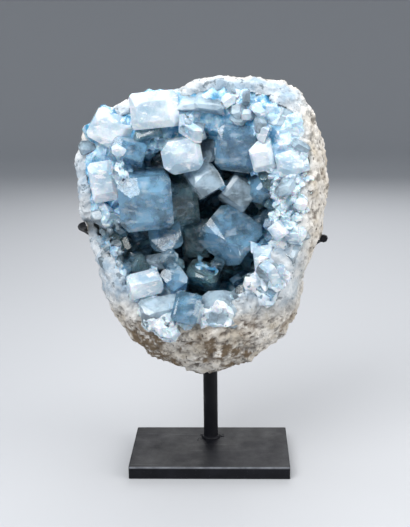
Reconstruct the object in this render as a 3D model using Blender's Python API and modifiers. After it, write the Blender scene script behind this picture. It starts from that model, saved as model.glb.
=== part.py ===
"""Celestite geode on a welded steel display stand.

The geode is half of a hollow nodule that has been opened on the side facing -Y. A thin rind of
chalky rock carries one crust of grown-together celestite crystals. The stand is a steel plate,
a round post and two bent rods that reach round the back of the geode to its left and right edges.

X runs across the geode, Y runs away from the viewer and Z is up. The origin is the middle of the
plate's underside. Lengths in the tables are millimetres, turned into metres by MM.
"""

import math

import bmesh
import bpy
from mathutils import Matrix, Vector, noise

MM = 0.001

# The steel stand
PLATE_WIDTH = 140.0
PLATE_DEPTH = 90.0
PLATE_THICKNESS = 11.0
PLATE_CHAMFER = 1.2
POST_DIAMETER = 13.0
POST_Y = 22.0
ROD_DIAMETER = 6.4
ROD_CLEARANCE = 1.6
LEFT_ROD_START = 84.0
RIGHT_ROD_START = 75.0
ROD_STUB = 4.0
WELD_GAP = 0.3
ROD_GAP = WELD_GAP + 0.1
POST_CUT_FROM = 100.0
POST_SIDES = 32
SHARP_FROM = 40.0

# The last bend of the left rod, which hooks round the notch: X, Y and height over the geode's middle
LEFT_HOOK = ((-99.0, -13.0, 4.0), (-92.5, -18.0, 0.5), (-91.5, -18.5, -8.0))

# Where the rods lie against the geode's back: clock angle and depth angle, in degrees
LEFT_CLIMB = (
    (258, 40), (246, 46), (231, 44), (214, 36), (198, 26), (186, 13), (181, -1),
)
RIGHT_CLIMB = (
    (282, 40), (294, 46), (309, 44), (326, 36), (340, 24), (349, 11), (353, -3), (354, -12),
)

# The geode's middle, and how far its outside reaches from there
CENTRE = Vector((0.0, 8.0, 215.0))
REACH_BACK = 60.0
REACH_FRONT = 62.0
BLUNTNESS = 2.3
OUTLINE_FROM = 0.7
RIND_THICKNESS = 8.0
TOUCH_GAP = 0.35

# Reach of the outside seen from the front, every 15 degrees anticlockwise from +X
OUTLINE_STEP = 15.0
OUTLINE = (
    99, 105, 115, 129, 137, 129, 124, 117, 125, 130, 127, 114,
    106, 101, 107, 116, 124, 129, 133, 126, 119, 110, 96, 93,
)

# The broken front: a slanted face, lumpy, with a notch at the left edge for the stand's claw
MOUTH_DEPTH = -27.0
MOUTH_SLOPE_X = -0.10
MOUTH_SLOPE_Z = 0.19
MOUTH_LUMP = 4.0
MOUTH_LUMP_SIZE = 26.0
NOTCH_PLACE = (-98.0, -3.0)
NOTCH_WIDTH = 15.0
NOTCH_DEPTH = 27.0
CRUST_PROUD = 6.0
CUTTER_MARGIN = 14.0

# How far the crystals stand back from the places in their table, more towards the top
CRYSTAL_SETBACK = 8.0
CRYSTAL_LEAN = 0.07

# The hollow inside the crust
HOLLOW_CENTRE = Vector((-10.0, -36.0, 217.0))
HOLLOW_REACH = Vector((71.0, 70.0, 84.0))

HOLLOW_WOBBLE = 5.0

RIND_LUMP = 2.4
RIND_LUMP_SIZE = 24.0

# Segments and rings of the closed forms
OUTSIDE_CELLS = (42, 24)
INSIDE_CELLS = (30, 16)
HOLLOW_CELLS = (30, 18)
MOUTH_CELLS = 20
MOUTH_HALF = 150.0
MOUTH_FRONT = -190.0

# Facets that lie this close to one plane, in degrees, are joined
FLAT_WITHIN = 1.0

# Finishes: colour, roughness, metallic
CHALKY_ROCK = ((0.62, 0.58, 0.51), 0.9, 0.0)
PALE_CELESTITE = ((0.45, 0.62, 0.75), 0.2, 0.0)
BLACK_STEEL = ((0.012, 0.013, 0.018), 0.45, 0.4)


def outline_reach(angle):
    """The outline's reach in a direction given in degrees, on a smooth closed curve through OUTLINE."""
    place = (angle % 360.0) / OUTLINE_STEP
    index = int(place)
    part = place - index
    a, b, c, d = (OUTLINE[(index + k) % len(OUTLINE)] for k in (-1, 0, 1, 2))
    bend = 2 * a - 5 * b + 4 * c - d
    return b + 0.5 * part * (c - a + part * (bend + part * (3 * (b - c) + d - a)))


def reach_at(angle, across):
    """The outline's reach, evened out towards the middle of the back so that no folds meet there."""
    even = sum(OUTLINE) / len(OUTLINE)
    share = min(1.0, across / OUTLINE_FROM)
    return even + (outline_reach(angle) - even) * share * share * (3.0 - 2.0 * share)


def nodule_point(direction, inset):
    """A point of the nodule's outside, or of the surface that lies inset within it."""
    across = math.hypot(direction.x, direction.z)
    power = 2.0 / BLUNTNESS
    angle = math.degrees(math.atan2(direction.z, direction.x))
    reach = reach_at(angle, across) - inset
    depth = (REACH_BACK if direction.y > 0 else REACH_FRONT) - inset
    out = reach * across**power
    along = depth * math.copysign(abs(direction.y) ** power, direction.y)
    turn = math.radians(angle)
    point = CENTRE + Vector((out * math.cos(turn), along, out * math.sin(turn)))
    lump = RIND_LUMP * noise.fractal(point / RIND_LUMP_SIZE, 0.8, 2.0, 3)
    return point + direction * lump


def mouth_y(x, z):
    """Depth of the broken front at a place across and up."""
    up = z - CENTRE.z
    lump = MOUTH_LUMP * noise.fractal(Vector((x, 7.0, z)) / MOUTH_LUMP_SIZE, 0.8, 2.0, 2)
    from_notch = ((x - NOTCH_PLACE[0]) ** 2 + (up - NOTCH_PLACE[1]) ** 2) / NOTCH_WIDTH**2
    notch = NOTCH_DEPTH * math.exp(-from_notch)
    return MOUTH_DEPTH + MOUTH_SLOPE_X * x + MOUTH_SLOPE_Z * up + lump + notch


def finish(name, look):
    """A material with a plain colour, roughness and metallic value."""
    colour, roughness, metallic = look
    made = bpy.data.materials.new(name)
    made.use_nodes = True
    shader = made.node_tree.nodes["Principled BSDF"]
    shader.inputs["Base Color"].default_value = (*colour, 1.0)
    shader.inputs["Roughness"].default_value = roughness
    shader.inputs["Metallic"].default_value = metallic
    return made


def object_of(name, shape, collection, material=None):
    """Makes an object from a bmesh drawn in millimetres and puts it in a collection."""
    bmesh.ops.recalc_face_normals(shape, faces=shape.faces)
    bmesh.ops.triangulate(shape, faces=shape.faces)
    bmesh.ops.scale(shape, vec=Vector((MM, MM, MM)), verts=shape.verts)
    mesh = bpy.data.meshes.new(name)
    shape.to_mesh(mesh)
    shape.free()
    made = bpy.data.objects.new(name, mesh)
    collection.objects.link(made)
    if material is not None:
        mesh.materials.append(material)
    if collection is cutters or collection is crystals:
        made.hide_render = True
        made.display_type = "WIRE"
    return made


def boolean(target, operation, other):
    """Adds a Boolean modifier with another object as its operand."""
    modifier = target.modifiers.new(operation.lower(), "BOOLEAN")
    modifier.operation = operation
    modifier.solver = "EXACT"
    modifier.object = other


def islands_of(shape):
    """The separate closed surfaces of a mesh, as lists of faces."""
    left = set(shape.faces)
    found = []
    while left:
        reached = [left.pop()]
        for face in reached:
            for edge in face.edges:
                fresh = [other for other in edge.link_faces if other in left]
                left.difference_update(fresh)
                reached.extend(fresh)
        found.append(reached)
    return found


def keep_largest_body(target):
    """Applies the modifiers and drops sealed gaps between crystals and chips that touch nothing."""
    graph = bpy.context.evaluated_depsgraph_get()
    mesh = bpy.data.meshes.new_from_object(target.evaluated_get(graph))
    target.modifiers.clear()
    shape = bmesh.new()
    shape.from_mesh(mesh)
    islands = sorted(islands_of(shape), key=lambda faces: sum(face.calc_area() for face in faces))
    extra = [face for faces in islands[:-1] for face in faces]
    bmesh.ops.delete(shape, geom=extra, context="FACES")
    bmesh.ops.dissolve_limit(shape, angle_limit=math.radians(FLAT_WITHIN), verts=shape.verts, edges=shape.edges)
    bmesh.ops.triangulate(shape, faces=shape.faces)
    shape.to_mesh(target.data)
    shape.free()
    bpy.data.meshes.remove(mesh)


def nodule(name, inset, cells, collection, material=None):
    """A closed lumpy form: a sphere with its poles at the front and back, drawn out to the outline."""
    segments, rings = cells
    shape = bmesh.new()
    bmesh.ops.create_uvsphere(shape, u_segments=segments, v_segments=rings, radius=1.0)
    bmesh.ops.rotate(shape, verts=shape.verts, matrix=Matrix.Rotation(math.radians(-90), 3, "X"))
    for vertex in shape.verts:
        vertex.co = nodule_point(vertex.co.normalized(), inset)
    return object_of(name, shape, collection, material)


def mouth_slab(name, forward):
    """Everything in front of the broken face, moved forward by a given amount."""
    shape = bmesh.new()
    bmesh.ops.create_grid(shape, x_segments=MOUTH_CELLS, y_segments=MOUTH_CELLS, size=MOUTH_HALF)
    bmesh.ops.rotate(shape, verts=shape.verts, matrix=Matrix.Rotation(math.radians(90), 3, "X"))
    bmesh.ops.translate(shape, verts=shape.verts, vec=Vector((0.0, 0.0, CENTRE.z)))
    for vertex in shape.verts:
        vertex.co.y = mouth_y(vertex.co.x, vertex.co.z) - forward
    rim = [edge for edge in shape.edges if edge.is_boundary]
    drawn = bmesh.ops.extrude_edge_only(shape, edges=rim)["geom"]
    for vertex in drawn:
        if isinstance(vertex, bmesh.types.BMVert):
            vertex.co.y = MOUTH_FRONT
    ends = [edge for edge in shape.edges if edge.is_boundary]
    bmesh.ops.edgenet_fill(shape, edges=ends)
    return object_of(name, shape, cutters)


def hollow():
    """The open space that the crystals grew into."""
    segments, rings = HOLLOW_CELLS
    shape = bmesh.new()
    bmesh.ops.create_uvsphere(shape, u_segments=segments, v_segments=rings, radius=1.0)
    bmesh.ops.rotate(shape, verts=shape.verts, matrix=Matrix.Rotation(math.radians(-90), 3, "X"))
    for vertex in shape.verts:
        way = vertex.co.normalized()
        point = HOLLOW_CENTRE + way * HOLLOW_REACH
        vertex.co = point + way * HOLLOW_WOBBLE * noise.noise(point / RIND_LUMP_SIZE)
    return object_of("hollow", shape, cutters)


# How much of a crystal's width is cut off each long edge
EDGE_CUT = 0.13

# Facets that end a crystal: the side each one cuts, in degrees round the crystal, how far it runs in
# over the end and how far it drops down the side, as shares of the crystal's width and length
CHISEL = ((90, 0.75, 0.5), (270, 0.55, 0.55), (0, 0.12, 0.2), (180, 0.12, 0.2))
BLOCKY = ((90, 0.25, 0.18), (270, 0.2, 0.12), (0, 0.2, 0.14), (180, 0.12, 0.12))
POINTED = ((45, 0.6, 0.45), (135, 0.6, 0.5), (225, 0.55, 0.45), (315, 0.6, 0.5))
WEDGE = ((90, 0.95, 0.9), (0, 0.4, 0.3), (180, 0.4, 0.35), (270, 0.1, 0.1))
OVERHUNG = ((270, 0.85, 1.1), (90, 0.25, 0.15), (0, 0.2, 0.2), (180, 0.2, 0.2))
FORMS = {"chisel": CHISEL, "blocky": BLOCKY, "pointed": POINTED, "wedge": WEDGE, "overhung": OVERHUNG}

# The large crystals: tip and root as X, Y and height over the geode's middle, then width, thickness,
# twist in degrees and form. Each one is named for its place in the hollow.
LARGE_CRYSTALS = {
    "great_block": ((-49, -49, 24), (-58, 6, 30), 44, 45, 4, "blocky"),
    "upper_left_blue": ((-66, -40, 63), (-64, 2, 72), 29, 22, -18, "chisel"),
    "centre_pale": ((-20, -40, 62), (-22, 12, 66), 31, 27, 10, "blocky"),
    "diagonal": ((6, -34, 33), (-20, 14, 56), 24, 24, 30, "chisel"),
    "upper_right_big": ((24, -34, 66), (30, 24, 80), 33, 39, -8, "blocky"),
    "right_white": ((45, -38, 62), (52, 2, 66), 19, 25, 14, "blocky"),
    "right_prism": ((46, -26, 21), (42, 14, 60), 21, 20, 35, "pointed"),
    "small_striped": ((23, -28, 24), (30, 20, 34), 25, 28, -38, "chisel"),
    "centre_block": ((16, -38, -4), (26, 28, -14), 43, 46, -36, "chisel"),
    "top_a": ((-17, -34, 93), (-16, 4, 106), 26, 22, 8, "overhung"),
    "top_b": ((1, -37, 94), (2, 2, 106), 25, 23, -10, "overhung"),
    "top_c": ((14, -28, 92), (10, 8, 108), 13, 24, -24, "wedge"),
    "top_left_block": ((-42, -40, 101), (-43, 4, 98), 40, 30, 5, "blocky"),
    "pale_hexagon": ((27, -25, 94), (34, 16, 96), 18, 14, 0, "pointed"),
    "top_blue": ((21, -20, 106), (22, 10, 108), 20, 20, 20, "chisel"),
    "slender": ((-3, -22, 56), (8, 8, 88), 16, 9, 15, "wedge"),
    "radial_a": ((54, -37, 88), (66, 6, 94), 30, 27, -30, "pointed"),
    "radial_b": ((68, -33, 82), (74, 2, 84), 24, 26, 12, "blocky"),
    "low_wedge": ((-35, -31, -11), (-38, 8, 4), 28, 18, 12, "wedge"),
    "dark_face": ((-11, -6, -12), (-10, 34, -14), 24, 34, 0, "blocky"),
    "low_left_smooth": ((-28, -38, -37), (-31, 4, -62), 23, 22, -12, "pointed"),
    "low_left_pale": ((-50, -46, -38), (-62, -2, -62), 28, 22, 10, "chisel"),
    "knob": ((-84, -28, -25), (-80, 6, -31), 18, 21, 20, "pointed"),
    "rim_slab_a": ((-36, -53, -60), (-42, -8, -78), 38, 24, 8, "chisel"),
    "rim_slab_b": ((-17, -55, -58), (-20, -8, -80), 22, 26, -15, "blocky"),
    "rim_dome": ((11, -56, -55), (12, -8, -82), 42, 30, -6, "pointed"),
    "ramp": ((43, -52, -42), (56, -2, -64), 27, 27, -28, "chisel"),
    "right_low_a": ((46, -42, -22), (62, 0, -32), 17, 24, 12, "blocky"),
    "right_low_b": ((60, -45, -13), (76, -4, -20), 25, 26, -20, "chisel"),
    "right_low_c": ((72, -42, 1), (80, -4, -6), 20, 20, 24, "blocky"),
    "grey_low": ((-3, -26, -30), (-4, 14, -58), 28, 24, -20, "chisel"),
    "glassy": ((-24, -32, -23), (-54, -6, -34), 13, 14, 30, "pointed"),
    "green": ((-20, -17, 19), (-28, 24, 20), 26, 36, 6, "blocky"),
    "white_upper_left": ((-79, -31, 84), (-84, 4, 82), 34, 28, -30, "blocky"),
    "mid_left_top": ((-46, -33, 71), (-50, 6, 78), 24, 28, 16, "overhung"),
    "white_left": ((-86, -31, 42), (-92, 2, 36), 22, 34, 8, "blocky"),
    "white_right": ((70, -42, 58), (74, -6, 54), 26, 20, 16, "blocky"),
    "grains_right": ((70, -43, 28), (76, -6, 24), 28, 34, -14, "pointed"),
}

# Small crystals between the large ones, spread evenly over the hollow's wall
SMALL_COUNT = 30
SMALL_WIDTH = (11.0, 19.0)
SMALL_LENGTH = (20.0, 30.0)
GOLDEN_ANGLE = math.pi * (3.0 - math.sqrt(5.0))
LEAN_SHIFTS = (Vector((0.0, 0.0, 0.0)), Vector((7.3, 0.0, 0.0)), Vector((0.0, 7.3, 0.0)))


def crystal(name, tip, root, width, thickness, twist, form):
    """One crystal: a block whose long edges are cut off, then ended by the facets of its form."""
    axis = tip - root
    length = axis.length
    shape = bmesh.new()
    bmesh.ops.create_cube(shape, size=1.0)
    bmesh.ops.scale(shape, vec=Vector((width, thickness, length)), verts=shape.verts)
    bmesh.ops.translate(shape, verts=shape.verts, vec=Vector((0.0, 0.0, length / 2)))
    half = Vector((width / 2, thickness / 2, 0.0))
    for corner in (45, 135, 225, 315):
        side = Vector((math.cos(math.radians(corner)), math.sin(math.radians(corner)), 0.0))
        reach = abs(side.x) * half.x + abs(side.y) * half.y
        slice_off(shape, side * (reach - EDGE_CUT * min(width, thickness)), side)
    for angle, run, drop in FORMS[form]:
        side = Vector((math.cos(math.radians(angle)), math.sin(math.radians(angle)), 0.0))
        reach = abs(side.x) * half.x + abs(side.y) * half.y
        run_in = run * reach * 2
        drop_down = drop * reach * 2
        normal = (side * drop_down + Vector((0.0, 0.0, run_in))).normalized()
        slice_off(shape, side * reach + Vector((0.0, 0.0, length - drop_down)), normal)
    aim = axis.to_track_quat("Z", "Y").to_matrix().to_4x4()
    turn = Matrix.Rotation(math.radians(twist), 4, "Z")
    shape.transform(Matrix.Translation(root) @ aim @ turn)
    return object_of(name, shape, crystals)


def slice_off(shape, point, normal):
    """Cuts away what lies beyond a plane and closes the cut with one flat facet."""
    everything = shape.verts[:] + shape.edges[:] + shape.faces[:]
    cut = bmesh.ops.bisect_plane(
        shape, geom=everything, plane_co=point, plane_no=normal, clear_outer=True, dist=0.01
    )["geom_cut"]
    edges = [item for item in cut if isinstance(item, bmesh.types.BMEdge)]
    if edges:
        bmesh.ops.edgenet_fill(shape, edges=edges)


def place(x, y, up):
    """A crystal's tip or root, given by its height over the geode's middle."""
    return Vector((x, y + CRYSTAL_SETBACK + CRYSTAL_LEAN * up, CENTRE.z + up))


def large_crystals():
    for name, (tip, root, width, thickness, twist, form) in LARGE_CRYSTALS.items():
        crystal(name, place(*tip), place(*root), width, thickness, twist, form)


def small_crystals():
    """Fills the wall of the hollow with smaller crystals that lean towards its open middle."""
    aim = HOLLOW_CENTRE + Vector((0.0, -30.0, 0.0))
    forms = ("blocky", "chisel", "pointed")
    for index in range(SMALL_COUNT):
        back = 0.95 - 1.15 * (index + 0.5) / SMALL_COUNT
        round_it = GOLDEN_ANGLE * index
        across = math.sqrt(1.0 - back * back)
        way = Vector((across * math.cos(round_it), back, across * math.sin(round_it)))
        vary = 0.5 + 0.5 * noise.noise(way * 9.0)
        wall = HOLLOW_CENTRE + way * HOLLOW_REACH
        inward = (aim - wall).normalized()
        lean = Vector([noise.noise(way * 5.0 + shift) for shift in LEAN_SHIFTS]) * 0.5
        length = SMALL_LENGTH[0] + vary * (SMALL_LENGTH[1] - SMALL_LENGTH[0])
        width = SMALL_WIDTH[0] + vary * (SMALL_WIDTH[1] - SMALL_WIDTH[0])
        root = wall - inward * length * 0.5
        tip = root + (inward + lean).normalized() * length
        thickness = width * (0.75 + 0.4 * vary)
        crystal(f"small_{index:02d}", tip, root, width, thickness, math.degrees(round_it), forms[index % 3])


def geode_rind():
    """The rock shell: the nodule, opened at the front and emptied to the rind's thickness."""
    rind = nodule("geode_rind", 0.0, OUTSIDE_CELLS, parts, finish("chalky rock", CHALKY_ROCK))
    boolean(rind, "DIFFERENCE", mouth_slab("mouth", 0.0))
    boolean(rind, "DIFFERENCE", nodule("rind_inside", RIND_THICKNESS, INSIDE_CELLS, cutters))
    keep_largest_body(rind)


def crystal_crust():
    """The celestite layer with all its crystals, grown together in one solid, clear of the rind."""
    celestite = finish("celestite", PALE_CELESTITE)
    crust = nodule("crystal_crust", RIND_THICKNESS + 2 * TOUCH_GAP, INSIDE_CELLS, parts, celestite)
    boolean(crust, "DIFFERENCE", mouth_slab("crust_front", CRUST_PROUD))
    boolean(crust, "DIFFERENCE", hollow())
    large_crystals()
    small_crystals()
    for grown in crystals.objects:
        boolean(crust, "UNION", grown)
    room = nodule("rind_room", -CUTTER_MARGIN, INSIDE_CELLS, cutters)
    room_inside = nodule("room_inside", RIND_THICKNESS + TOUCH_GAP, INSIDE_CELLS, cutters)
    boolean(room, "DIFFERENCE", room_inside)
    boolean(room, "DIFFERENCE", mouth_slab("room_front", TOUCH_GAP))
    boolean(crust, "DIFFERENCE", room)
    keep_largest_body(crust)


def base_plate(steel):
    shape = bmesh.new()
    bmesh.ops.create_cube(shape, size=1.0)
    bmesh.ops.scale(shape, vec=Vector((PLATE_WIDTH, PLATE_DEPTH, PLATE_THICKNESS)), verts=shape.verts)
    bmesh.ops.translate(shape, verts=shape.verts, vec=Vector((0.0, 0.0, PLATE_THICKNESS / 2)))
    plate = object_of("base_plate", shape, parts, steel)
    chamfer = plate.modifiers.new("chamfer", "BEVEL")
    chamfer.width = PLATE_CHAMFER * MM
    chamfer.segments = 2


def post(steel, clearance):
    """The upright, its top hollowed to the geode's underside that rests on it."""
    low = PLATE_THICKNESS + WELD_GAP
    high = POST_CUT_FROM
    shape = bmesh.new()
    bmesh.ops.create_cone(
        shape,
        cap_ends=True,
        segments=POST_SIDES,
        radius1=POST_DIAMETER / 2,
        radius2=POST_DIAMETER / 2,
        depth=high - low,
    )
    bmesh.ops.translate(shape, verts=shape.verts, vec=Vector((0.0, POST_Y, (high + low) / 2)))
    made = object_of("post", shape, parts, steel)
    boolean(made, "DIFFERENCE", clearance)
    made.data.shade_smooth()
    made.data.set_sharp_from_angle(angle=math.radians(SHARP_FROM))


def rod_point(clock, back):
    """A point of a rod that lies against the nodule, at a clock angle and a depth angle in degrees."""
    turn, lean = math.radians(clock), math.radians(back)
    way = Vector((math.cos(turn) * math.cos(lean), math.sin(lean), math.sin(turn) * math.cos(lean)))
    across = math.hypot(way.x, way.z)
    power = 2.0 / BLUNTNESS
    clear = ROD_DIAMETER / 2 + ROD_CLEARANCE
    reach = (outline_reach(clock) + clear) * across**power
    depth = (REACH_BACK if way.y > 0 else REACH_FRONT) + clear
    along = depth * math.copysign(abs(way.y) ** power, way.y)
    return CENTRE + Vector((reach * math.cos(turn), along, reach * math.sin(turn)))


def smooth_route(corners, each):
    """Points along a smooth curve through the given corners."""
    ends = [2 * corners[0] - corners[1], *corners, 2 * corners[-1] - corners[-2]]
    route = []
    for a, b, c, d in zip(ends, ends[1:], ends[2:], ends[3:]):
        for step in range(each):
            t = step / each
            bend = 2 * a - 5 * b + 4 * c - d
            route.append(b + 0.5 * t * (c - a + t * (bend + t * (3 * (b - c) + d - a))))
    return route + [corners[-1]]


def claw_rod(name, corners, steel, clearance):
    """A bent rod from the post round the back of the geode, as one welded mesh cut clear of the rind."""
    weld_within = 0.00005
    route = smooth_route(corners, 3)
    curve = bpy.data.curves.new(name, "CURVE")
    curve.dimensions = "3D"
    curve.bevel_depth = ROD_DIAMETER / 2 * MM
    curve.bevel_resolution = 2
    curve.use_fill_caps = True
    spline = curve.splines.new("POLY")
    spline.points.add(len(route) - 1)
    for point, corner in zip(spline.points, route):
        point.co = (*(corner * MM), 1.0)
    drawn = bpy.data.objects.new(name + "_route", curve)
    parts.objects.link(drawn)
    graph = bpy.context.evaluated_depsgraph_get()
    mesh = bpy.data.meshes.new_from_object(drawn.evaluated_get(graph))
    bpy.data.objects.remove(drawn)
    shape = bmesh.new()
    shape.from_mesh(mesh)
    bmesh.ops.remove_doubles(shape, verts=shape.verts, dist=weld_within)
    bmesh.ops.recalc_face_normals(shape, faces=shape.faces)
    shape.to_mesh(mesh)
    shape.free()
    mesh.name = name
    made = bpy.data.objects.new(name, mesh)
    parts.objects.link(made)
    mesh.materials.clear()
    mesh.materials.append(steel)
    boolean(made, "DIFFERENCE", clearance)
    mesh.shade_smooth()
    mesh.set_sharp_from_angle(angle=math.radians(SHARP_FROM))


def claw_rods(steel, clearance):
    """Both rods leave the post's back just under the geode, climb its back and end over its edge."""
    start = POST_Y + POST_DIAMETER / 2 + ROD_GAP
    left = [
        Vector((0.0, start, LEFT_ROD_START)),
        Vector((0.0, start + ROD_STUB, LEFT_ROD_START)),
        Vector((-4.0, start + 2 * ROD_STUB, LEFT_ROD_START + 3.0)),
        *(rod_point(clock, back) for clock, back in LEFT_CLIMB),
        *(Vector((x, y, CENTRE.z + up)) for x, y, up in LEFT_HOOK),
    ]
    right = [
        Vector((0.0, start, RIGHT_ROD_START)),
        Vector((0.0, start + ROD_STUB, RIGHT_ROD_START)),
        Vector((4.0, start + 2 * ROD_STUB, RIGHT_ROD_START + 4.0)),
        *(rod_point(clock, back) for clock, back in RIGHT_CLIMB),
    ]
    claw_rod("left_claw_rod", left, steel, clearance)
    claw_rod("right_claw_rod", right, steel, clearance)


def new_collection(name):
    made = bpy.data.collections.new(name)
    bpy.context.scene.collection.children.link(made)
    return made


for old in list(bpy.data.objects):
    bpy.data.objects.remove(old)

parts = new_collection("Celestite geode on stand")
cutters = new_collection("Cutters")
crystals = new_collection("Crystals to join")

geode_rind()
crystal_crust()
black_steel = finish("black steel", BLACK_STEEL)
rind_clearance = nodule("rind_clearance", -TOUCH_GAP, OUTSIDE_CELLS, cutters)
base_plate(black_steel)
post(black_steel, rind_clearance)
claw_rods(black_steel, rind_clearance)
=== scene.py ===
# %% [markdown]
# A celestite geode on a black steel stand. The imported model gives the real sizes: a rind of chalky
# rock, one crust of crystals, a plate, a post and two bent rods. This script keeps the steel parts
# and gives them a coat of paint, and it builds the rock and every crystal again with more detail.

# %% Load the frame
import math
import random

import bmesh
import bpy
import numpy as np
from mathutils import Euler, Matrix, Vector
from mathutils.bvhtree import BVHTree


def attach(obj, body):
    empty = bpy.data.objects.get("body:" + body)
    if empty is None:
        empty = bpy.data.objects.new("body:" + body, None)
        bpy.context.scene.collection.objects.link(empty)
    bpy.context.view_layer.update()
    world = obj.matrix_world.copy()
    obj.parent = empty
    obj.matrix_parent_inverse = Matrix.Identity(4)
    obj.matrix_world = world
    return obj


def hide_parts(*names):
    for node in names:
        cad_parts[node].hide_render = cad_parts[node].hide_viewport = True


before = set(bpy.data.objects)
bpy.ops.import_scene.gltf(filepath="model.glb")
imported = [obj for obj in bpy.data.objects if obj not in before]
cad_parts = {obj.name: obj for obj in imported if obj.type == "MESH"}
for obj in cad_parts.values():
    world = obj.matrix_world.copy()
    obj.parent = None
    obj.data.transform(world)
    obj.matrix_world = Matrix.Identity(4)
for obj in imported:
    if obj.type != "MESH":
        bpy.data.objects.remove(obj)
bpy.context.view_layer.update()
MM = 0.001
GEODE_HEIGHT = 215.0
GEODE_MIDDLE = Vector((0.0, 8.0, GEODE_HEIGHT)) * MM
print("CAD nodes:", ", ".join(sorted(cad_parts)))

# %% [markdown]
# The camera stands where the photographer stood: a long lens, a little above the geode, looking
# slightly down. The angles and the place were worked out from the corners of the plate.

# %% Camera
CAMERA_PLACE = Vector((25.0, -855.2, 386.3)) * MM
CAMERA_YAW = math.radians(1.87)
CAMERA_PITCH = math.radians(13.47)
CAMERA_ROLL = math.radians(-0.68)
FRAME_HEIGHT_PX = 527
FOCAL_PX = 1014.4
SENSOR_MM = 36.0

bpy.ops.object.camera_add(location=CAMERA_PLACE)
camera = bpy.context.object
camera.name = "camera"
aim = Matrix.Rotation(CAMERA_YAW, 4, "Z") @ Matrix.Rotation(math.pi / 2 - CAMERA_PITCH, 4, "X")
camera.rotation_euler = (aim @ Matrix.Rotation(CAMERA_ROLL, 4, "Z")).to_euler()
camera.data.sensor_width = SENSOR_MM
camera.data.lens = FOCAL_PX * SENSOR_MM / FRAME_HEIGHT_PX
bpy.context.scene.camera = camera
print("camera lens", round(camera.data.lens, 1), "mm")

# %% [markdown]
# The studio floor is a pale round sheet that curves up all round, like a photographer's paper. A flat
# plane would be simpler, but its edge would show from the side. So the floor starts as a filled
# circle, and its rim is extruded again and again, each time a little higher and wider, along a
# quarter of a circle. It ends in a straight wall.

# %% Floor
FLOOR_RADIUS = 2.2
FLOOR_SIDES = 96
SWEEP_RADIUS = 1.2
SWEEP_STEPS = 14
WALL_HEIGHT = 1.4
FLOOR_GREY = (0.47, 0.48, 0.50, 1.0)
FLOOR_ROUGHNESS = 0.75


def raise_rim(rise):
    """Extrudes the selected rim straight up."""
    bpy.ops.mesh.extrude_region_move(TRANSFORM_OT_translate={"value": (0.0, 0.0, rise)})


bpy.ops.mesh.primitive_circle_add(vertices=FLOOR_SIDES, radius=FLOOR_RADIUS, fill_type="NGON")
floor = bpy.context.object
floor.name = "floor"
bpy.ops.object.mode_set(mode="EDIT")
bpy.ops.mesh.select_mode(type="EDGE")
bpy.ops.mesh.select_all(action="SELECT")
bpy.ops.mesh.region_to_loop()
reach, height = FLOOR_RADIUS, 0.0
for step in range(1, SWEEP_STEPS + 1):
    turn = math.pi / 2 * step / SWEEP_STEPS
    next_reach = FLOOR_RADIUS + SWEEP_RADIUS * math.sin(turn)
    next_height = SWEEP_RADIUS * (1.0 - math.cos(turn))
    raise_rim(next_height - height)
    grow = next_reach / reach
    bpy.ops.transform.resize(value=(grow, grow, 1.0), center_override=(0.0, 0.0, next_height))
    reach, height = next_reach, next_height
raise_rim(WALL_HEIGHT)
bpy.ops.mesh.select_all(action="SELECT")
bpy.ops.mesh.normals_make_consistent(inside=True)
bpy.ops.object.mode_set(mode="OBJECT")
bpy.ops.object.shade_smooth()
floor_paint = bpy.data.materials.new("studio_floor")
floor_paint.use_nodes = True
floor_shader = floor_paint.node_tree.nodes["Principled BSDF"]
floor_shader.inputs["Base Color"].default_value = FLOOR_GREY
floor_shader.inputs["Roughness"].default_value = FLOOR_ROUGHNESS
floor.data.materials.append(floor_paint)
print("floor:", len(floor.data.polygons), "faces")

# %% [markdown]
# Large lamps matter here: a crystal shows its faces by mirroring them, so each face that turns
# towards a lamp flashes and the next one stays dark. Each lamp has a place, a size in metres, a
# power in watts and a colour. A weak grey-blue world fills the shadows, as a studio's walls do.

# %% Light
NEUTRAL = (1.0, 1.0, 1.0)
WARM = (1.0, 0.98, 0.95)
LAMPS = {
    "key_lamp": ((-0.55, -0.75, 1.05), 0.85, 14.5, NEUTRAL),
    "right_lamp": ((0.95, -0.45, 0.55), 0.8, 8.0, WARM),
    "top_lamp": ((0.05, 0.05, 1.15), 0.9, 8.0, NEUTRAL),
    "back_lamp": ((0.1, 1.2, 0.9), 1.0, 8.0, NEUTRAL),
}
WORLD_COLOUR = (0.55, 0.60, 0.66, 1.0)
WORLD_STRENGTH = 0.62

for name, (place, size, power, colour) in LAMPS.items():
    bpy.ops.object.light_add(type="AREA", location=place)
    lamp = bpy.context.object
    lamp.name = name
    lamp.data.size = size
    lamp.data.energy = power
    lamp.data.color = colour
    lamp.rotation_euler = (GEODE_MIDDLE - Vector(place)).to_track_quat("-Z", "Y").to_euler()
world = bpy.data.worlds.new("studio")
world.use_nodes = True
background = world.node_tree.nodes["Background"]
background.inputs["Color"].default_value = WORLD_COLOUR
background.inputs["Strength"].default_value = WORLD_STRENGTH
bpy.context.scene.world = world
bpy.context.scene.view_settings.view_transform = "Standard"
bpy.context.scene.view_settings.look = "None"
print("lamps:", len(LAMPS))

# %% [markdown]
# Every piece goes through the same few steps at the bench: select only it, apply its modifiers, and
# apply its place, so that its object sits at the origin. These helpers do that. Displace moves a
# surface in and out by one of Blender's procedural textures, which suits rock and rough crystal.


# %% Bench helpers
def pick(piece):
    """Selects one object alone and makes it active."""
    bpy.ops.object.select_all(action="DESELECT")
    piece.select_set(True)
    bpy.context.view_layer.objects.active = piece


def apply_modifiers(piece):
    pick(piece)
    for modifier in list(piece.modifiers):
        bpy.ops.object.modifier_apply(modifier=modifier.name)


def settle(piece):
    """Puts the place, turn and scale into the mesh."""
    pick(piece)
    bpy.ops.object.transform_apply(location=True, rotation=True, scale=True)


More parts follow.
